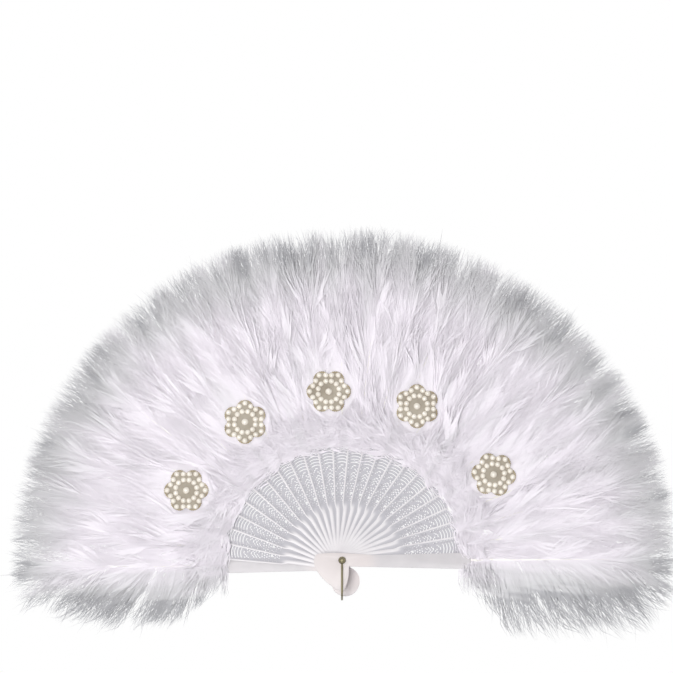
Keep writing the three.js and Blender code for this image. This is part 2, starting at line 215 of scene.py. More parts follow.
ARCH_OUT = (86 * MM, TANG_START)
# Painted shade on the sticks: grey over the web from just past the gorge, and down the middle of the gorge
# between its ribs.
PAINTED_SHADE_START = GORGE_END + 3 * MM
PAINTED_VALLEY_SPAN = (0.2, 0.6)
MOTTLE_SCALE = 60
TINT_RANGE = (0.3, 0.65)
GRAIN_HEIGHT = 0.1 * MM


def smooth(value, start, end):
    """Zero up to the start and one from the end on, with a soft rise between."""
    share = np.clip((value - start) / (end - start), 0, 1)
    return share * share * (3 - 2 * share)


def turn_of(index):
    """The angle of a stick from +X, counted towards +Z."""
    return math.pi - index * STEP_ANGLE


def to_stick(index):
    """From a stick's own frame, +X along it, +Z to its left and -Y to the front, to the fan's frame."""
    return Matrix.Rotation(-turn_of(index), 4, "Y")


def body_name(index):
    """The moving body that a stick and its plume belong to."""
    if index == 0:
        return "rear_guard"
    if index == LAST:
        return "front_guard"
    return f"stick_{index:02d}"


def finished(name, bm, material, crease=40):
    """The mesh as an object at the origin, smooth but for edges sharper than crease degrees."""
    mesh = bpy.data.meshes.new(name)
    bm.to_mesh(mesh)
    bm.free()
    mesh.polygons.foreach_set("use_smooth", np.ones(len(mesh.polygons), bool))
    mesh.set_sharp_from_angle(angle=math.radians(crease))
    mesh.materials.append(material)
    piece = bpy.data.objects.new(name, mesh)
    scene.collection.objects.link(piece)
    return piece


def fine_grain_group():
    """Soft mottling and fine grain over the Object coordinates, shared by the hard finishes."""
    group = bpy.data.node_groups.new("fine_grain", "ShaderNodeTree")
    group.interface.new_socket("Scale", in_out="INPUT", socket_type="NodeSocketFloat")
    group.interface.new_socket("Mottle", in_out="OUTPUT", socket_type="NodeSocketFloat")
    group.interface.new_socket("Grain", in_out="OUTPUT", socket_type="NodeSocketFloat")
    start = group.nodes.new("NodeGroupInput")
    end = group.nodes.new("NodeGroupOutput")
    place = group.nodes.new("ShaderNodeTexCoord")
    mottle = group.nodes.new("ShaderNodeTexNoise")
    mottle.inputs["Scale"].default_value = MOTTLE_SCALE
    mottle.inputs["Detail"].default_value = 3
    grain = group.nodes.new("ShaderNodeTexNoise")
    grain.inputs["Detail"].default_value = 2
    group.links.new(place.outputs["Object"], mottle.inputs["Vector"])
    group.links.new(place.outputs["Object"], grain.inputs["Vector"])
    group.links.new(start.outputs["Scale"], grain.inputs["Scale"])
    group.links.new(mottle.outputs["Fac"], end.inputs["Mottle"])
    group.links.new(grain.outputs["Fac"], end.inputs["Grain"])
    return group


fine_grain = fine_grain_group()


def hard_finish(name, light, dark, roughness, grain_scale, bump, **sockets):
    """A Principled finish whose colour and roughness drift with the mottling, over a fine grained surface."""
    material = bpy.data.materials.new(name)
    nodes, links = nodes_of(material)
    shader = nodes.new("ShaderNodeBsdfPrincipled")
    for socket, value in sockets.items():
        shader.inputs[socket.replace("_", " ")].default_value = value
    grain = nodes.new("ShaderNodeGroup")
    grain.node_tree = fine_grain
    grain.inputs["Scale"].default_value = grain_scale
    tint = nodes.new("ShaderNodeValToRGB")
    tint.name = "tint"
    tint.color_ramp.elements[0].position = TINT_RANGE[0]
    tint.color_ramp.elements[0].color = (*dark, 1)
    tint.color_ramp.elements[1].position = TINT_RANGE[1]
    tint.color_ramp.elements[1].color = (*light, 1)
    gloss = nodes.new("ShaderNodeMapRange")
    gloss.inputs["To Min"].default_value = roughness[0]
    gloss.inputs["To Max"].default_value = roughness[1]
    relief = nodes.new("ShaderNodeBump")
    relief.inputs["Strength"].default_value = bump
    relief.inputs["Distance"].default_value = GRAIN_HEIGHT
    out = nodes.new("ShaderNodeOutputMaterial")
    links.new(grain.outputs["Mottle"], tint.inputs["Fac"])
    links.new(tint.outputs["Color"], shader.inputs["Base Color"])
    links.new(grain.outputs["Mottle"], gloss.inputs["Value"])
    links.new(gloss.outputs["Result"], shader.inputs["Roughness"])
    links.new(grain.outputs["Grain"], relief.inputs["Height"])
    links.new(relief.outputs["Normal"], shader.inputs["Normal"])
    links.new(shader.outputs[0], out.inputs["Surface"])
    return material


def blend_tint(material, factor, colour):
    """Turns a hard finish's colour to another one as the factor rises from 0 to 1."""
    nodes = material.node_tree.nodes
    links = material.node_tree.links
    shader = next(node for node in nodes if node.type == "BSDF_PRINCIPLED")
    blend = nodes.new("ShaderNodeMix")
    blend.data_type = "RGBA"
    blend.inputs["B"].default_value = (*colour, 1)
    links.new(factor, blend.inputs["Factor"])
    links.new(nodes["tint"].outputs["Color"], blend.inputs["A"])
    links.new(blend.outputs["Result"], shader.inputs["Base Color"])


def painted_shade_stick_finish():
    """The sticks' plastic, blended to grey by the web attribute as painted shade over the pierced web and
    down the gorge's valley between its ribs.
    """
    material = hard_finish(
        "pierced_stick_plastic",
        (0.76, 0.735, 0.75),
        (0.69, 0.665, 0.685),
        (0.3, 0.45),
        900,
        0.1,
        Specular_IOR_Level=0.4,
    )
    # Painted shade: this grey stands in for the shadow in the recessed web and in the gorge's valley.
    web = material.node_tree.nodes.new("ShaderNodeAttribute")
    web.attribute_name = "web"
    blend_tint(material, web.outputs["Fac"], (0.47, 0.46, 0.495))
    return material


pierced_plastic = painted_shade_stick_finish()

stick_rows = np.concatenate(
    [
        np.linspace(-HEAD_RADIUS, HEAD_RADIUS, 11)[:-1],
        np.linspace(HEAD_RADIUS, GORGE_END, 11)[:-1],
        np.linspace(GORGE_END, BLADE_START, 8)[:-1],
        np.arange(BLADE_START, BLADE_END, BLADE_ROW),
        np.linspace(BLADE_END, TANG_START, 5)[:-1],
        np.linspace(TANG_START, TANG_END, 5),
    ]
)
web_columns = np.linspace(-WEB_SHARE, WEB_SHARE, WEB_COLUMNS + 1)
stick_columns = np.concatenate([[-1, -RIM_CREST], web_columns, [RIM_CREST, 1]])


def stick_half(distance):
    """Half the stick's width at a distance from the rivet."""
    head = np.sqrt(np.maximum(HEAD_RADIUS**2 - distance**2, HEAD_END_HALF**2))
    neck = smooth(distance, 0, NECK_END)
    shank = head * (1 - neck) + np.maximum(GORGE_HALF, head * (1 - neck)) * neck
    blade_share = np.clip((distance - BLADE_START) / (BLADE_END - BLADE_START), 0, 1)
    blade = BLADE_START_HALF + (BLADE_END_HALF - BLADE_START_HALF) * blade_share
    width = shank + (blade - shank) * smooth(distance, GORGE_END, BLADE_START)
    return width + (TANG_HALF - width) * smooth(distance, NARROWING_START, TANG_START)


def pierced(row, column):
    """Whether the pattern opens this field of the web: dots with one large eye, chevrons, then arches."""
    distance = stick_rows[row]
    field = column - 2
    if field < 0 or field >= WEB_COLUMNS or distance < BLADE_START or distance > BLADE_END - BLADE_ROW:
        return False
    from_spine = abs(field - (WEB_COLUMNS - 1) / 2)
    step = int(round((distance - BLADE_START) / BLADE_ROW))
    if step in EYE_ROWS and from_spine < 2:
        return from_spine < 1 and step < EYE_ROWS[-1]
    if step < DOT_ROWS:
        return step % 2 == 1 and (field + step // 2) % 2 == 0
    if step < CHEVRON_ROWS:
        return (step + int(from_spine)) % 3 == 0 and (field + step) % 5 != 0
    return step % 3 == 0


def grid_place(point):
    """Row and column of a point on the flat grid that a stick is shaped from."""
    return (point.x + 1) / 2 * (len(stick_rows) - 1), (point.y + 1) / 2 * (len(stick_columns) - 1)


def stick_mesh():
    """One stick in its own frame: a grid with the pattern cut out, shaped and given its thickness."""
    bm = bmesh.new()
    bmesh.ops.create_grid(bm, x_segments=len(stick_rows) - 1, y_segments=len(stick_columns) - 1, size=1)
    holes = []
    for face in bm.faces:
        row, column = grid_place(face.calc_center_median())
        if pierced(int(row), int(column)):
            holes.append(face)
    bmesh.ops.inset_individual(bm, faces=holes, thickness=HOLE_INSET)
    bmesh.ops.delete(bm, geom=holes, context="FACES")
    for vert in bm.verts:
        row, column = grid_place(vert.co)
        distance = np.interp(row, range(len(stick_rows)), stick_rows)
        across = np.interp(column, range(len(stick_columns)), stick_columns)
        edge = abs(across)
        in_tang = smooth(distance, NARROWING_START, TANG_START)
        in_blade = smooth(distance, GORGE_END, BLADE_START) * (1 - in_tang)
        arch = ARCH_RISE * smooth(distance, *ARCH_IN) * (1 - smooth(distance, *ARCH_OUT))
        chevron = CHEVRON_RISE * smooth(distance, *CHEVRON_IN) * (1 - smooth(distance, *CHEVRON_OUT))
        rib = GORGE_RIB * max(0, 1 - ((edge - RIB_MIDDLE) / RIB_HALF) ** 2) * (1 - in_blade)
        rim = RIM_RAISE * in_blade * np.interp(edge, [WEB_SHARE, RIM_CREST, 1], [0, 1, 0.5])
        vert.co = (
            distance + arch * (1 - across**2) + chevron * (1 - edge),
            -rib - rim,
            TANG_MIDDLE * in_tang + across * stick_half(distance),
        )
    bmesh.ops.recalc_face_normals(bm, faces=bm.faces)
    if sum(face.normal.y * face.calc_area() for face in bm.faces) > 0:
        bmesh.ops.reverse_faces(bm, faces=bm.faces)
    bmesh.ops.solidify(bm, geom=bm.faces[:], thickness=STICK_SHEET)
    depths = [vert.co.y for vert in bm.verts]
    bmesh.ops.translate(bm, verts=bm.verts, vec=(0, -(min(depths) + max(depths)) / 2, 0))
    return bm


stick_template = stick_mesh()
stick_points = np.array([vert.co for vert in stick_template.verts])
stick_across = np.abs(stick_points[:, 2]) / stick_half(stick_points[:, 0])
# Painted shade per point: full over the web within the blade, and in the gorge a band down the middle between
# the ribs, where the next stick's edge casts shadow.
in_blade = smooth(stick_points[:, 0], PAINTED_SHADE_START, BLADE_START)
valley_shade = 1 - smooth(stick_across, *PAINTED_VALLEY_SPAN)
painted_shade_strength = np.where(stick_across < WEB_SHARE * WEB_MARGIN, in_blade, 0) + valley_shade * (1 - in_blade)
for index in range(1, LAST):
    node = f"stick_{index:02d}"
    low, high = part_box(node)
    bm = stick_template.copy()
    bmesh.ops.translate(bm, verts=bm.verts, vec=(0, (low.y + high.y) / 2, 0))
    bmesh.ops.transform(bm, matrix=to_stick(index), verts=bm.verts)
    piece = finished(f"pierced_{node}", bm, pierced_plastic)
    # The web attribute holds the painted shade that the plastic reads.
    piece.data.attributes.new("web", "FLOAT", "POINT").data.foreach_set("value", painted_shade_strength)
    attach(piece, body_name(index))
    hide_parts(node)
stick_template.free()

# Guards: the two thick outer sticks, plain and smooth, with leaf-shaped heads that the hand pinches.
# They are moulded from the same plastic, with every edge rounded over.
GUARD_EDGE = 0.55 * MM
WELD = 0.001 * MM
FLAT_ANGLE = math.radians(2)
CORNER_ANGLE = math.radians(50)
HEAD_FADE = (32 * MM, 18 * MM)


def rivet_distance_group():
    """Distance from the rivet's axis, which is the fan's Y axis, over the Object coordinates."""
    group = bpy.data.node_groups.new("rivet_distance", "ShaderNodeTree")
    group.interface.new_socket("Distance", in_out="OUTPUT", socket_type="NodeSocketFloat")
    end = group.nodes.new("NodeGroupOutput")
    place = group.nodes.new("ShaderNodeTexCoord")
    flat = group.nodes.new("ShaderNodeVectorMath")
    flat.operation = "MULTIPLY"
    flat.inputs[1].default_value = (1, 0, 1)
    reach = group.nodes.new("ShaderNodeVectorMath")
    reach.operation = "LENGTH"
    group.links.new(place.outputs["Object"], flat.inputs[0])
    group.links.new(flat.outputs[0], reach.inputs[0])
    group.links.new(reach.outputs["Value"], end.inputs["Distance"])
    return group


rivet_distance = rivet_distance_group()


def guard_finish():
    """The guards' plastic, milky, turning lighter and warmer within a few centimetres of the rivet, over the
    heads.
    """
    material = hard_finish(
        "guard_plastic",
        (0.62, 0.595, 0.61),
        (0.56, 0.54, 0.555),
        (0.38, 0.5),
        900,
        0.1,
        Specular_IOR_Level=0.35,
    )
    nodes = material.node_tree.nodes
    distance = nodes.new("ShaderNodeGroup")
    distance.node_tree = rivet_distance
    head = nodes.new("ShaderNodeMapRange")
    head.interpolation_type = "SMOOTHSTEP"
    head.inputs["From Min"].default_value = HEAD_FADE[0]
    head.inputs["From Max"].default_value = HEAD_FADE[1]
    material.node_tree.links.new(distance.outputs["Distance"], head.inputs["Value"])
    blend_tint(material, head.outputs["Result"], (0.69, 0.635, 0.63))
    return material


guard_plastic = guard_finish()


def rounded_copy(node, name, edge, material):
    """The CAD solid with its corners rounded over."""
    bm = bmesh.new()
    bm.from_mesh(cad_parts[node].data)
    bmesh.ops.remove_doubles(bm, verts=bm.verts, dist=WELD)
    bmesh.ops.dissolve_limit(bm, angle_limit=FLAT_ANGLE, verts=bm.verts, edges=bm.edges)
    corners = [e for e in bm.edges if e.is_manifold and e.calc_face_angle() > CORNER_ANGLE]
    bmesh.ops.bevel(
        bm,
        geom=corners,
        offset=edge,
        offset_type="OFFSET",
        segments=3,
        profile=0.5,
        affect="EDGES",
        clamp_overlap=True,
        material=-1,
    )
    bmesh.ops.dissolve_degenerate(bm, dist=WELD, edges=bm.edges)
    return finished(name, bm, material)


for node, body in (("guard_rear", "rear_guard"), ("guard_front", "front_guard")):
    piece = rounded_copy(node, f"moulded_{node}", GUARD_EDGE, guard_plastic)
    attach(piece, body)
    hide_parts(node)

# Pearl rosettes: flat-backed ivory imitation pearls sewn on a six-petalled backing of tan felt, which has an
# edge of seed beads. Each is sewn through one plume, a little to the left of its stick.
ROSETTE_STICKS = (4, 8, 12, 16, 21)
PETAL_COUNT = 6
PETAL_TURN = 2 * math.pi / PETAL_COUNT
ROSETTE_RADIUS = 17.4 * MM
PETAL_VALLEY = 12.8 * MM
PETAL_FULLNESS = 0.7
FELT_THICKNESS = 0.8 * MM
LARGE_PEARL = 2.8 * MM
PEARL = 2.2 * MM
PEARL_FLATTENING = 0.75
PEARL_RAISE = 0.1
EDGE_PEARLS = ((1 / 6, 13.4 * MM), (1 / 2, 15.2 * MM), (5 / 6, 13.4 * MM))
INNER_PEARL_SHARES = (0.25, 0.75)
INNER_PEARL_DISTANCE = 8.6 * MM
SEED_BEAD = 0.75 * MM
SEED_INSET = 0.3
SEEDS_PER_PETAL = 13

ivory_pearl = hard_finish(
    "ivory_pearl",
    (0.87, 0.82, 0.73),
    (0.75, 0.69, 0.6),
    (0.16, 0.26),
    1200,
    0.03,
    Coat_Weight=0.7,
    Coat_Roughness=0.12,
    Specular_IOR_Level=0.6,
)
seed_gold = hard_finish("seed_bead_gold", (0.5, 0.42, 0.27), (0.36, 0.29, 0.17), (0.2, 0.35), 1500, 0.05)
tan_felt = hard_finish("tan_felt", (0.43, 0.385, 0.32), (0.31, 0.27, 0.215), (0.85, 0.98), 2200, 0.9)


def petal_edge(turn):
    """Distance from a rosette's centre to its outline at a turn."""
    share = abs(math.sin(turn / PETAL_TURN * math.pi))
    return PETAL_VALLEY + (ROSETTE_RADIUS - PETAL_VALLEY) * share**PETAL_FULLNESS


rosettes = []
for number, index in enumerate(ROSETTE_STICKS, 1):
    node = f"pearl_rosette_{number}"
    low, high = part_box(node)
    middle = (low + high) / 2
    place = Matrix.Translation((middle.x, high.y, middle.z)) @ to_stick(index)
    rosettes.append((middle.x, middle.z, high.y))

    bm = bmesh.new()
    bmesh.ops.create_circle(bm, cap_ends=True, segments=PETAL_COUNT * 12, radius=1)
    for vert in bm.verts:
        turn = math.atan2(vert.co.y, vert.co.x)
        reach = petal_edge(turn)
        vert.co = (reach * math.cos(turn), 0, reach * math.sin(turn))
    felt_area = sum(face.calc_area() for face in bm.faces)
    swept = bmesh.ops.extrude_face_region(bm, geom=bm.faces[:])
    lifted = [item for item in swept["geom"] if isinstance(item, bmesh.types.BMVert)]
    bmesh.ops.translate(bm, verts=lifted, vec=(0, -FELT_THICKNESS, 0))
    bmesh.ops.recalc_face_normals(bm, faces=bm.faces)
    bmesh.ops.transform(bm, matrix=place, verts=bm.verts)
    felt = finished(f"rosette_felt_{number}", bm, tan_felt)

    bm = bmesh.new()
    pearls = [(LARGE_PEARL, 0, 0)]
    for petal in range(PETAL_COUNT):
        for share, distance in EDGE_PEARLS:
            pearls.append((PEARL, distance, (petal + share) * PETAL_TURN))
        for share in INNER_PEARL_SHARES:
            pearls.append((PEARL, INNER_PEARL_DISTANCE, (petal + share) * PETAL_TURN))
    for radius, distance, turn in pearls:
        height = radius * PEARL_FLATTENING
        seat = (distance * math.cos(turn), -FELT_THICKNESS - height * PEARL_RAISE, distance * math.sin(turn))
        dome = Matrix.Translation(seat) @ Matrix.Scale(PEARL_FLATTENING, 4, (0, 1, 0))
        bmesh.ops.create_uvsphere(bm, u_segments=12, v_segments=8, radius=radius, matrix=place @ dome)
    for vert in bm.verts:
        vert.co.y = min(vert.co.y, high.y - FELT_THICKNESS / 2)
    sewn = finished(f"rosette_pearls_{number}", bm, ivory_pearl)

    bm = bmesh.new()
    for seed in range(PETAL_COUNT * SEEDS_PER_PETAL):
        turn = (seed + 0.5) / SEEDS_PER_PETAL * PETAL_TURN
        reach = petal_edge(turn) - SEED_BEAD * SEED_INSET
        seat = (reach * math.cos(turn), -FELT_THICKNESS, reach * math.sin(turn))
        bmesh.ops.create_icosphere(
            bm, subdivisions=1, radius=SEED_BEAD, matrix=place @ Matrix.Translation(seat)
        )
    edging = finished(f"rosette_edging_{number}", bm, seed_gold, crease=80)

    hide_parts(node)
    for piece in (felt, sewn, edging):
        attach(piece, body_name(index))

# Plumes: white marabou down. Each has a thin pale shaft glued beside its stick's tang, and many soft barbs
# that leave the shaft in locks and bend outwards along the fan; towards the fan's rim the down is painted
# grey as shade.
# Short curly down at the root hides the tangs.
SHAFT_ROOT = 97.5 * MM
SHAFT_TIP = 228 * MM
SHAFT_RADIUS = 0.95 * MM
SHAFT_FLATTENING = 0.45
SHAFT_TAPER = 0.8
SHAFT_STATIONS = 14
QUILL_OFFSET = 1.6 * MM
QUILL_EASE_END = TANG_END + 6 * MM
FLARE_START = 102.6 * MM
FLARE_END = 119.5 * MM
FLARE_STEP = 3.4 * MM

# Painted shade on the down: grey towards the fan's rim, down the lower lobes that hang below the guards, and
# in soft random streaks that stand in for the shade between clumps.
RIM_SHADE_SPAN = (200 * MM, 258 * MM)
RIM_SHADE_STRENGTH = 0.85
LOBE_SHADE_SPAN = (8 * MM, -38 * MM)
LOBE_SHADE_STRENGTH = 1.1
STREAK_SPACING = (16, 14, 60)
STREAK_SHADE_STRENGTH = 1.1
DOWN_GLOW = 0.12
FACING_SHARES = (0.3, 1, 0.3)


def down_finish():
    """White down with a faint lavender cast and painted shade: a cooler grey at the fan's rim and on the
    lower lobes, and soft random grey streaks.
    """
    material = bpy.data.materials.new("white_down")
    nodes, links = nodes_of(material)
    shader = nodes.new("ShaderNodeBsdfPrincipled")
    shader.inputs["Roughness"].default_value = 0.8
    shader.inputs["Specular IOR Level"].default_value = 0.2
    glow = nodes.new("ShaderNodeBsdfTranslucent")
    both = nodes.new("ShaderNodeMixShader")
    both.inputs[0].default_value = DOWN_GLOW
    place = nodes.new("ShaderNodeTexCoord")
    reach = nodes.new("ShaderNodeGroup")
    reach.node_tree = rivet_distance
    rim = nodes.new("ShaderNodeMapRange")
    rim.interpolation_type = "SMOOTHSTEP"
    rim.inputs["From Min"].default_value = RIM_SHADE_SPAN[0]
    rim.inputs["From Max"].default_value = RIM_SHADE_SPAN[1]
    rim.inputs["To Max"].default_value = RIM_SHADE_STRENGTH
    parts = nodes.new("ShaderNodeSeparateXYZ")
    lobe_shade = nodes.new("ShaderNodeMapRange")
    lobe_shade.interpolation_type = "SMOOTHSTEP"
    lobe_shade.inputs["From Min"].default_value = LOBE_SHADE_SPAN[0]
    lobe_shade.inputs["From Max"].default_value = LOBE_SHADE_SPAN[1]
    lobe_shade.inputs["To Max"].default_value = LOBE_SHADE_STRENGTH
    painted_down_shade = nodes.new("ShaderNodeMath")
    painted_down_shade.operation = "MAXIMUM"
    bearing = nodes.new("ShaderNodeMath")
    bearing.operation = "ARCTAN2"
    swept = nodes.new("ShaderNodeCombineXYZ")
    spacing = nodes.new("ShaderNodeVectorMath")
    spacing.operation = "MULTIPLY"
    spacing.inputs[1].default_value = STREAK_SPACING
    streak = nodes.new("ShaderNodeTexNoise")
    streak.inputs["Scale"].default_value = 1
    streak.inputs["Detail"].default_value = 3
    drift = nodes.new("ShaderNodeMath")
    drift.operation = "MULTIPLY_ADD"
    drift.inputs[1].default_value = STREAK_SHADE_STRENGTH
    drift.inputs[2].default_value = -STREAK_SHADE_STRENGTH / 2
    mixed = nodes.new("ShaderNodeMath")
    mixed.operation = "ADD"
    # From white down to the greys of the painted shade.
    tint = nodes.new("ShaderNodeValToRGB")
    tint.color_ramp.elements[0].color = (0.97, 0.93, 0.98, 1)
    tint.color_ramp.elements[1].color = (0.54, 0.54, 0.56, 1)
    tint.color_ramp.elements.new(0.8).color = (0.74, 0.735, 0.75, 1)
    surface = nodes.new("ShaderNodeNewGeometry")
    softened = nodes.new("ShaderNodeVectorMath")
    softened.operation = "MULTIPLY"
    softened.inputs[1].default_value = FACING_SHARES
    facing = nodes.new("ShaderNodeVectorMath")
    facing.operation = "NORMALIZE"
    out = nodes.new("ShaderNodeOutputMaterial")
    links.new(reach.outputs["Distance"], rim.inputs["Value"])
    links.new(place.outputs["Object"], parts.inputs[0])
    links.new(parts.outputs["Z"], lobe_shade.inputs["Value"])
    links.new(rim.outputs["Result"], painted_down_shade.inputs[0])
    links.new(lobe_shade.outputs["Result"], painted_down_shade.inputs[1])
    links.new(parts.outputs["Z"], bearing.inputs[0])
    links.new(parts.outputs["X"], bearing.inputs[1])
    links.new(bearing.outputs[0], swept.inputs["X"])
    links.new(reach.outputs["Distance"], swept.inputs["Y"])
    links.new(parts.outputs["Y"], swept.inputs["Z"])
    links.new(swept.outputs[0], spacing.inputs[0])
    links.new(spacing.outputs[0], streak.inputs["Vector"])
    links.new(streak.outputs["Fac"], drift.inputs[0])
    links.new(painted_down_shade.outputs[0], mixed.inputs[0])
    links.new(drift.outputs[0], mixed.inputs[1])
    links.new(mixed.outputs[0], tint.inputs["Fac"])
    links.new(tint.outputs["Color"], shader.inputs["Base Color"])
    links.new(tint.outputs["Color"], glow.inputs["Color"])
    links.new(surface.outputs["Normal"], softened.inputs[0])
    links.new(softened.outputs[0], facing.inputs[0])
    links.new(facing.outputs[0], shader.inputs["Normal"])
    links.new(shader.outputs[0], both.inputs[1])
    links.new(glow.outputs[0], both.inputs[2])
    links.new(both.outputs[0], out.inputs["Surface"])
    return material


white_down = down_finish()
pale_quill = hard_finish("pale_quill", (0.95, 0.93, 0.87), (0.88, 0.85, 0.79), (0.3, 0.45), 700, 0.1)


def plume_depth(index, distance):
    """Depth of a plume's shaft: level with its tang, then flared to make room for the rosettes."""
    rosettes_behind = sum(carrier < index for carrier in ROSETTE_STICKS)
    flare = (rosettes_behind - len(ROSETTE_STICKS) / 2) * FLARE_STEP
    return (LAST / 2 - index) * LAYER_PITCH - flare * smooth(distance, FLARE_START, FLARE_END)


FINE_STEPS = 32
BEND_FALLOFF = 1.6
CURL_WAVES = 6
LIFT_ARC = 2.1
SETTLE_FALLOFF = 1.5
WISP_PULL = 0.6
LOCKS = 112
BARBS_PER_LOCK = 13


def barb_paths(root, side, open_turn, end_turn, length, lift, curl, phase):
    """Paths of barbs in a plume's own frame: distance, side and lift to the front at small steps."""
    count = len(root)
    along = np.zeros((count, FINE_STEPS + 1))
    across = np.zeros((count, FINE_STEPS + 1))
    along[:, 0] = root
    for step in range(FINE_STEPS):
        share = step / FINE_STEPS
        bend = end_turn + (open_turn - end_turn) * (1 - share) ** BEND_FALLOFF
        wave = curl * share * np.sin(phase + share * CURL_WAVES)
        heading = side * bend + wave + np.arctan2(across[:, step], along[:, step])
        along[:, step + 1] = along[:, step] + length / FINE_STEPS * np.cos(heading)
        across[:, step + 1] = across[:, step] + length / FINE_STEPS * np.sin(heading)
    rise = np.sin(np.linspace(0, 1, FINE_STEPS + 1) * LIFT_ARC)
    return np.stack([along, across, lift[:, None] * rise], axis=2)


def settled(paths, turn, reach):
    """The paths bent and stretched until their tips lie at the given turns and distances."""
    angle = np.arctan2(paths[..., 1], paths[..., 0])
    distance = np.hypot(paths[..., 0], paths[..., 1])
    share = np.linspace(0, 1, FINE_STEPS + 1) ** SETTLE_FALLOFF
    angle = angle + (turn - angle[:, -1])[:, None] * share
    distance = distance + (reach - distance[:, -1])[:, None] * share
    return np.stack([distance * np.cos(angle), distance * np.sin(angle), paths[..., 2]], axis=-1)


def gathered(paths):
    """The paths with the barbs of each lock drawn together towards their tips, as wisps."""
    locks = paths.reshape(LOCKS, BARBS_PER_LOCK, FINE_STEPS + 1, 3)
    pull = WISP_PULL * np.linspace(0, 1, FINE_STEPS + 1)[:, None] ** 2
    return (locks + (locks.mean(axis=1, keepdims=True) - locks) * pull).reshape(paths.shape)


def scatter(draw, degrees, count):
    """Small random angles, in radians."""
    return np.radians(draw.normal(0, degrees, count))


FRINGE = 267 * MM
CROWN_EXTRA = 7 * MM
FRINGE_WANDER = 1.5 * MM
FIRST_LOCK = SHAFT_ROOT + 3 * MM
LAST_LOCK = SHAFT_TIP - 1 * MM
ROOT_CROWDING = 0.8
ROOT_SCATTER = 3 * MM
OUTER_PART = (95 * MM, 210 * MM)
END_PLUME_SPREAD = 1.25
HANGING_OPEN, HANGING_OPEN_LOSS, HANGING_OPEN_FAN = 88, 84, 68
HANGING_END, HANGING_END_FAN = 52, 44
LAID_OPEN, LAID_OPEN_LOSS = 62, 16
LAID_END = 14
MEAN_BEND = 0.4
TIP_TURN, TIP_TURN_LOSS = 9, 4
TURN_SCATTER = 4
TIP_SCATTER = 1.1
LOCK_REACH = (42 * MM, 74 * MM)
SHORTENING = 0.22
TIP_SHORTENING = 0.16
DROOPING_BIAS = 0.2
REAR_DROOP = (51 * MM, 36 * MM)
FRONT_DROOP = (63 * MM, 56 * MM)
DROOP_START = (85 * MM, 125 * MM)
DROOP_END = (170 * MM, 228 * MM)
FIRST_FALL = 0.35
FALL_RANGE = (0.85, 1)
HANGING_LENGTH = 60 * MM
OVERHANG = 1.05
STEEPEST_HEADING = 1.2
FLATTEST_HEADING = 0.2
LOCK_LIFT = 1.6 * MM
LIFT_SCATTER = 0.5 * MM
RAISED_SHARE = 0.15
RAISED_LIFT = 3
LIFT_LIMIT = 8 * MM
BARE_SHAFT_END = 150 * MM
STRAY_SHARE = 0.1
STRAY_WANDER = 2.5
CURL_SCATTER = 26
CURL_LIMIT = math.radians(32)
HANGING_CURL = 1.8


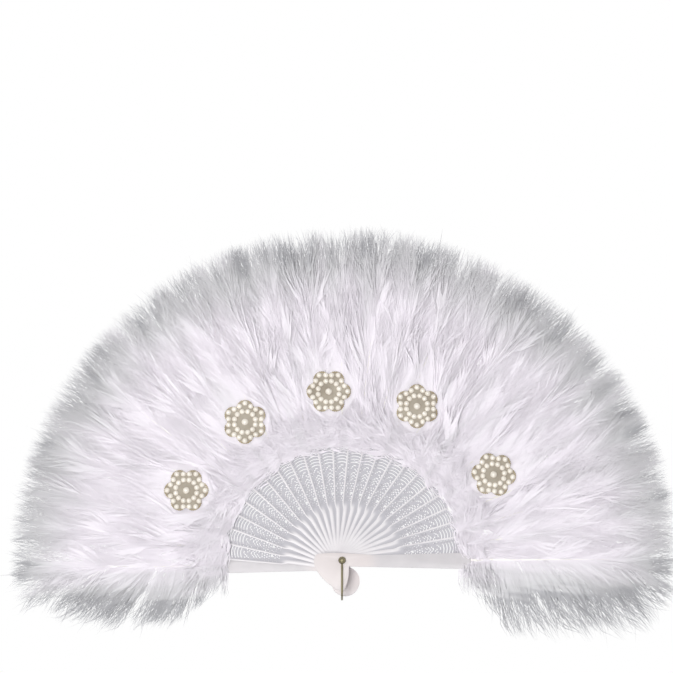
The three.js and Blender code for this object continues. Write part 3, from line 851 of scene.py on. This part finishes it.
def lock_paths(index, draw):
    """Paths of the long barbs, in locks that end at the fringe or hang below an end plume."""
    drooping_side = 1 if index == 0 else -1 if index == LAST else 0
    side = np.where(draw.uniform(0, 1, LOCKS) < 0.5 + DROOPING_BIAS * drooping_side, 1, -1)
    drooping = side == drooping_side
    root = FIRST_LOCK + (LAST_LOCK - FIRST_LOCK) * draw.uniform(0, 1, LOCKS) ** ROOT_CROWDING
    outer = smooth(root, *OUTER_PART)
    spread = draw.uniform(0, 1, LOCKS) ** (END_PLUME_SPREAD if drooping_side else 1)
    hanging_open = HANGING_OPEN - (HANGING_OPEN_LOSS - HANGING_OPEN_FAN * spread) * outer
    hanging_end = HANGING_END - (HANGING_END - HANGING_END_FAN * spread) * outer
    laid_open = (LAID_OPEN - LAID_OPEN_LOSS * outer) * spread
    open_turn = np.radians(np.where(drooping, hanging_open, laid_open))
    end_turn = np.radians(np.where(drooping, hanging_end, LAID_END * spread))
    heading = end_turn + (open_turn - end_turn) * MEAN_BEND

    fringe = FRINGE + CROWN_EXTRA * math.sin(turn_of(index)) - draw.exponential(FRINGE_WANDER, LOCKS)
    tip_turn = side * np.radians(TIP_TURN - TIP_TURN_LOSS * outer) * spread
    tip_reach = np.minimum(root + draw.uniform(*LOCK_REACH, LOCKS), fringe)
    slant = np.cos(np.minimum(heading, STEEPEST_HEADING))
    length = (tip_reach - root) / slant
    middle_droop, outer_droop = REAR_DROOP if index == 0 else FRONT_DROOP
    fall = middle_droop + (outer_droop - middle_droop) * smooth(root, *DROOP_END)
    fall = fall * (FIRST_FALL + (1 - FIRST_FALL) * smooth(root, *DROOP_START))
    fall = fall * draw.uniform(*FALL_RANGE, LOCKS)
    to_fringe = (fringe - root) / slant * OVERHANG
    hanging = np.minimum(fall / np.sin(np.maximum(heading, FLATTEST_HEADING)), to_fringe)
    length = np.where(drooping, np.minimum(np.maximum(length, HANGING_LENGTH), hanging), length)

    lift = draw.normal(0, LOCK_LIFT, LOCKS)
    lift = lift * np.where(draw.uniform(0, 1, LOCKS) < RAISED_SHARE, RAISED_LIFT, 1)
    lift = np.clip(lift, -LIFT_LIMIT, LIFT_LIMIT)
    if index == LAST:
        lift = np.where(root < BARE_SHAFT_END, -abs(lift), lift)

    lock = np.repeat(np.arange(LOCKS), BARBS_PER_LOCK)
    count = len(lock)
    stray = draw.uniform(0, 1, count) < STRAY_SHARE
    wander = np.where(stray, STRAY_WANDER, 1.0)
    barb_root = root[lock] + draw.normal(0, ROOT_SCATTER, count)
    free = barb_paths(
        barb_root,
        side[lock],
        open_turn[lock] + scatter(draw, TURN_SCATTER, count) * wander,
        end_turn[lock] + scatter(draw, TURN_SCATTER, count) * wander,
        length[lock] * (1 - SHORTENING * draw.uniform(0, 1, count) ** 2),
        lift[lock] + draw.normal(0, LIFT_SCATTER, count),
        np.clip(scatter(draw, CURL_SCATTER, count), -CURL_LIMIT, CURL_LIMIT)
        * np.where(drooping[lock], HANGING_CURL, 1),
        draw.uniform(0, 2 * math.pi, count),
    )
    free = np.where((drooping[lock] & ~stray)[:, None, None], gathered(free), free)
    laid = settled(
        free,
        tip_turn[lock] + scatter(draw, TIP_SCATTER, count),
        barb_root + (tip_reach[lock] - barb_root) * (1 - TIP_SHORTENING * draw.uniform(0, 1, count) ** 2),
    )
    return np.where((stray | drooping[lock])[:, None, None], free, laid)


TUFTS = 37
BARBS_PER_TUFT = 16
TUFT_ROOTS = (-3 * MM, 18 * MM)
TUFT_ROOT_SCATTER = 1.5 * MM
TUFT_TURN = (5, 150)
TUFT_TURN_SCATTER = 8
TUFT_RELAXING = 0.5
TUFT_LENGTH = (10 * MM, 26 * MM)
SIDE_GROWTH = 0.8
CROWN_GROWTH = 0.4
GROWTH_DRIFT = (-0.35, 0.5)
END_TUFT_GROWTH = 1.15
TUFT_LIFT = (-1 * MM, 5 * MM)
TUFT_LIFT_SCATTER = 0.8 * MM
TUFT_CURL = 22
TUFT_LEAD = (0.5 * MM, 2.5 * MM)
GUARD_END = 101.5 * MM
COVERING_TURN = math.radians(70)
CLEARING_RATE = 4


def tuft_paths(index, draw):
    """Paths of the short curly down about the shaft's root, which is longer at the fan's top."""
    tuft = np.repeat(np.arange(TUFTS), BARBS_PER_TUFT)
    count = len(tuft)
    root = SHAFT_ROOT + draw.uniform(*TUFT_ROOTS, TUFTS)
    open_turn = np.radians(draw.uniform(*TUFT_TURN, TUFTS))
    side = draw.choice([-1.0, 1.0], TUFTS)
    lift = draw.uniform(*TUFT_LIFT, TUFTS)
    growth = SIDE_GROWTH + CROWN_GROWTH * math.sin(turn_of(index)) + draw.uniform(*GROWTH_DRIFT)
    if index in (0, LAST):
        growth = max(growth, END_TUFT_GROWTH)
    paths = barb_paths(
        root[tuft] + draw.normal(0, TUFT_ROOT_SCATTER, count),
        side[tuft],
        open_turn[tuft] + scatter(draw, TUFT_TURN_SCATTER, count),
        open_turn[tuft] * TUFT_RELAXING,
        draw.uniform(*TUFT_LENGTH, count) * growth,
        lift[tuft] + draw.normal(0, TUFT_LIFT_SCATTER, count),
        scatter(draw, TUFT_CURL, count),
        draw.uniform(0, 2 * math.pi, count),
    )
    paths[..., 2] += draw.uniform(*TUFT_LEAD, count)[:, None]
    if index == LAST:
        covering = (root > GUARD_END) & (open_turn > COVERING_TURN)
        clear_of_shaft = np.minimum(np.linspace(0, CLEARING_RATE, FINE_STEPS + 1), 1)
        paths[..., 2] = abs(paths[..., 2]) * np.where(covering[tuft, None], clear_of_shaft, -1)
    return paths


CROSSING_MARGIN = 1.5 * MM
PRESS_FADE = (12 * MM, 34 * MM)
PRESS_GAP = 0.6 * MM


def to_fan(index, paths):
    """Paths from a plume's frame to the fan's. Those that cross a rosette are pressed flat behind it."""
    along, across, lift = paths[..., 0], paths[..., 1], paths[..., 2]
    turn = turn_of(index)
    x = along * math.cos(turn) - across * math.sin(turn)
    z = along * math.sin(turn) + across * math.cos(turn)
    y = plume_depth(index, np.hypot(along, across)) - lift
    for rosette_x, rosette_z, back in rosettes:
        gap = np.hypot(x - rosette_x, z - rosette_z) - ROSETTE_RADIUS
        crossing = gap.min(axis=1, keepdims=True) < CROSSING_MARGIN
        under = np.where(crossing, 1 - smooth(gap, *PRESS_FADE), 0)
        y = y + under * np.maximum(back + PRESS_GAP - y, 0)
    return np.stack([x, y, z], axis=-1)


BARB_RADIUS = 0.2 * MM
LEAST_STOUTNESS = 0.72
STOUTNESS_RANGE = 1.1
STOUT_RARITY = 5
BARB_STEPS = np.array([0, 0.3, 0.58, 0.82, 1.0])
BARB_TAPER = np.array([1, 1, 0.95, 0.85, 0])


def barb_template(count):
    """A mesh of equal barbs, each a triangle drawn out to a point, and the ring and turn of its corners."""
    bm = bmesh.new()
    bmesh.ops.create_circle(bm, cap_ends=True, segments=3, radius=1)
    tip = bm.faces[:]
    for step in range(1, len(BARB_STEPS)):
        tip = bmesh.ops.extrude_discrete_faces(bm, faces=tip)["faces"]
        bmesh.ops.translate(bm, verts=tip[0].verts, vec=(0, 0, 1))
    bmesh.ops.collapse(bm, edges=tip[0].edges)
    bmesh.ops.holes_fill(bm, edges=[edge for edge in bm.edges if edge.is_boundary], sides=3)
    bmesh.ops.recalc_face_normals(bm, faces=bm.faces)
    rings = np.array([round(vert.co.z) for vert in bm.verts])
    turns = np.array([math.atan2(vert.co.y, vert.co.x) for vert in bm.verts])
    one_barb = len(bm.verts), len(bm.edges), len(bm.faces)
    made = 1
    while made < count:
        more = min(made, count - made)
        parts = zip((bm.verts, bm.edges, bm.faces), one_barb)
        bmesh.ops.duplicate(bm, geom=[item for kind, size in parts for item in kind[: more * size]])
        made += more
    mesh = bpy.data.meshes.new("barbs")
    bm.to_mesh(mesh)
    bm.free()
    mesh.materials.append(white_down)
    return mesh, rings, turns


lock_mesh, barb_rings, barb_turns = barb_template(LOCKS * BARBS_PER_LOCK)
tuft_mesh = barb_template(TUFTS * BARBS_PER_TUFT)[0]


def barb_corners(centres, radii):
    """The corners of every barb about its path, in the template's order."""
    heading = np.gradient(centres, axis=1)
    sideways = np.stack([heading[..., 2], np.zeros(heading.shape[:2]), -heading[..., 0]], axis=-1)
    sideways /= np.linalg.norm(sideways, axis=-1, keepdims=True) + 1e-12
    depthways = np.array([0.0, 1.0, 0.0])
    offset = sideways[:, barb_rings] * np.cos(barb_turns)[:, None] + depthways * np.sin(barb_turns)[:, None]
    return centres[:, barb_rings] + offset * radii[:, barb_rings, None]


def grow_shaft(bm, index):
    """The plume's shaft, a thin tube drawn out to a point along the plume."""
    stations = np.linspace(SHAFT_ROOT, SHAFT_TIP, SHAFT_STATIONS)
    turn = turn_of(index)
    bmesh.ops.create_circle(bm, cap_ends=True, segments=6, radius=1)
    face = bm.faces[:][0]
    corner_turns = [math.atan2(vert.co.y, vert.co.x) for vert in face.verts]
    for step, distance in enumerate(stations):
        if step:
            face = bmesh.ops.extrude_discrete_faces(bm, faces=[face])["faces"][0]
        radius = SHAFT_RADIUS * (1 - SHAFT_TAPER * step / (SHAFT_STATIONS - 1))
        middle = QUILL_OFFSET * (1 - smooth(distance, TANG_END, QUILL_EASE_END))
        depth = plume_depth(index, distance)
        for vert, corner in zip(face.verts, corner_turns):
            across = middle + radius * math.cos(corner)
            vert.co = (
                distance * math.cos(turn) - across * math.sin(turn),
                depth + radius * SHAFT_FLATTENING * math.sin(corner),
                distance * math.sin(turn) + across * math.cos(turn),
            )
    bmesh.ops.holes_fill(bm, edges=[edge for edge in bm.edges if edge.is_boundary], sides=6)
    bmesh.ops.recalc_face_normals(bm, faces=bm.faces)


def down_piece(name, template, index, paths, draw):
    """Barbs along the paths as one soft piece that moves with its plume's stick."""
    centres = to_fan(index, paths)[:, np.round(BARB_STEPS * FINE_STEPS).astype(int)]
    stoutness = LEAST_STOUTNESS + STOUTNESS_RANGE * draw.uniform(0, 1, len(centres)) ** STOUT_RARITY
    radii = BARB_RADIUS * stoutness[:, None] * BARB_TAPER
    mesh = template.copy()
    mesh.name = name
    mesh.vertices.foreach_set("co", barb_corners(centres, radii).ravel())
    mesh.update()
    piece = bpy.data.objects.new(name, mesh)
    scene.collection.objects.link(piece)
    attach(piece, body_name(index))
    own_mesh(piece)
    return piece


FIRST_SEED = 400
for index in range(STICK_COUNT):
    draw = np.random.default_rng(FIRST_SEED + index)
    locks = lock_paths(index, draw)
    tufts = tuft_paths(index, draw)
    down = down_piece(f"down_{index:02d}", lock_mesh, index, locks, draw)
    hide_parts(f"plume_{index:02d}")
    down_piece(f"root_down_{index:02d}", tuft_mesh, index, tufts, draw)
    bm = bmesh.new()
    grow_shaft(bm, index)
    shaft = finished(f"shaft_{index:02d}", bm, pale_quill)
    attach(shaft, body_name(index))
bpy.data.meshes.remove(lock_mesh)
bpy.data.meshes.remove(tuft_mesh)

# Ribbon: a narrow white satin band glued across the front of every tang under the down.
# It stops the fan from opening past a half circle. On the real fan it folds between the sticks as the fan
# closes; here each piece spans one gap and turns with the stick at its start.
RIBBON_INNER = 97 * MM
RIBBON_OUTER = 101 * MM
RIBBON_THICKNESS = 0.3 * MM
RIBBON_LEAD = 1.25 * MM
LAST_STRETCH = 0.52

white_satin = hard_finish("white_satin", (0.85, 0.83, 0.85), (0.78, 0.76, 0.79), (0.4, 0.55), 1800, 0.3)
for index in range(LAST):
    bm = bmesh.new()
    bmesh.ops.create_grid(bm, x_segments=6, y_segments=2, size=1)
    stretch = LAST_STRETCH if index == LAST - 1 else 1
    for vert in bm.verts:
        along = (vert.co.x + 1) / 2 * stretch
        distance = RIBBON_INNER + (vert.co.y + 1) / 2 * (RIBBON_OUTER - RIBBON_INNER)
        turn = turn_of(index + along)
        depth = (LAST / 2 - index - along) * LAYER_PITCH - RIBBON_LEAD
        vert.co = (distance * math.cos(turn), depth, distance * math.sin(turn))
    bmesh.ops.recalc_face_normals(bm, faces=bm.faces)
    bmesh.ops.solidify(bm, geom=bm.faces[:], thickness=RIBBON_THICKNESS)
    piece = finished(f"ribbon_{index:02d}", bm, white_satin)
    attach(piece, body_name(index))
    turn = turn_of(index + 0.5)
    reach = (RIBBON_INNER + RIBBON_OUTER) / 2
    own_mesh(piece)
    if index == 0:
        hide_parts("ribbon")

# Rivet: a brass pin through all the heads, with a low head at the back and a matching cap at the front.
# It is turned from rod and gone dull.
RIVET_EDGE = 0.25 * MM

dull_brass = hard_finish(
    "dull_brass", (0.24, 0.215, 0.135), (0.14, 0.125, 0.08), (0.45, 0.62), 900, 0.15, Metallic=1.0
)
for node in ("rivet", "rivet_cap"):
    piece = rounded_copy(node, f"turned_{node}", RIVET_EDGE, dull_brass)
    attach(piece, "rear_guard")
    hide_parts(node)

# Bail: a stirrup of round brass wire that swings on the rivet's two ends, with a flat eye at each.
# The wire passes under the heads, where a cord or a tassel can be tied.
WIRE_RADIUS = 0.8 * MM
WIRE_SIDES = 12
BAIL_CORNER = 3 * MM
EYE_OUTER = 2.8 * MM
EYE_WIRE = 0.5 * MM
LEG_START = 0.85

low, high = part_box("bail")
leg_depth = high.y - WIRE_RADIUS
bail_drop = -low.z - WIRE_RADIUS
bm = bmesh.new()
leg_top = -EYE_OUTER * LEG_START
bmesh.ops.create_circle(
    bm,
    cap_ends=False,
    segments=WIRE_SIDES,
    radius=WIRE_RADIUS,
    matrix=Matrix.Translation((0, -leg_depth, leg_top)),
)
bmesh.ops.holes_fill(bm, edges=bm.edges[:], sides=WIRE_SIDES)
wire_end = bm.edges[:]


def draw_wire(edges, vec):
    """The wire's open end drawn on by a straight stretch."""
    made = bmesh.ops.extrude_edge_only(bm, edges=edges)["geom"]
    bmesh.ops.translate(bm, verts=[item for item in made if isinstance(item, bmesh.types.BMVert)], vec=vec)
    return [item for item in made if isinstance(item, bmesh.types.BMEdge) and item.is_boundary]


def bend_wire(edges, centre):
    """The wire's open end bent by a quarter turn."""
    made = bmesh.ops.spin(bm, geom=edges, cent=centre, axis=(1, 0, 0), angle=math.pi / 2, steps=6)
    return [item for item in made["geom_last"] if isinstance(item, bmesh.types.BMEdge)]


wire_end = draw_wire(wire_end, (0, 0, -bail_drop + BAIL_CORNER - leg_top))
wire_end = bend_wire(wire_end, (0, -leg_depth + BAIL_CORNER, -bail_drop + BAIL_CORNER))
wire_end = draw_wire(wire_end, (0, 2 * (leg_depth - BAIL_CORNER), 0))
wire_end = bend_wire(wire_end, (0, leg_depth - BAIL_CORNER, -bail_drop + BAIL_CORNER))
wire_end = draw_wire(wire_end, (0, 0, bail_drop - BAIL_CORNER + leg_top))
bmesh.ops.holes_fill(bm, edges=wire_end, sides=WIRE_SIDES)
for side in (-1, 1):
    ring = bmesh.ops.create_circle(
        bm,
        cap_ends=False,
        segments=10,
        radius=EYE_WIRE,
        matrix=Matrix.Translation((EYE_OUTER - EYE_WIRE, side * leg_depth, 0)),
    )["verts"]
    ring_edges = list({edge for vert in ring for edge in vert.link_edges})
    bmesh.ops.spin(
        bm,
        geom=ring_edges,
        cent=(0, side * leg_depth, 0),
        axis=(0, 1, 0),
        angle=2 * math.pi,
        steps=24,
        use_merge=True,
    )
bmesh.ops.recalc_face_normals(bm, faces=bm.faces)
piece = finished("wire_bail", bm, dull_brass)
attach(piece, "bail")
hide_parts("bail")

# Size of the dressed fan
low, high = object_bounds()
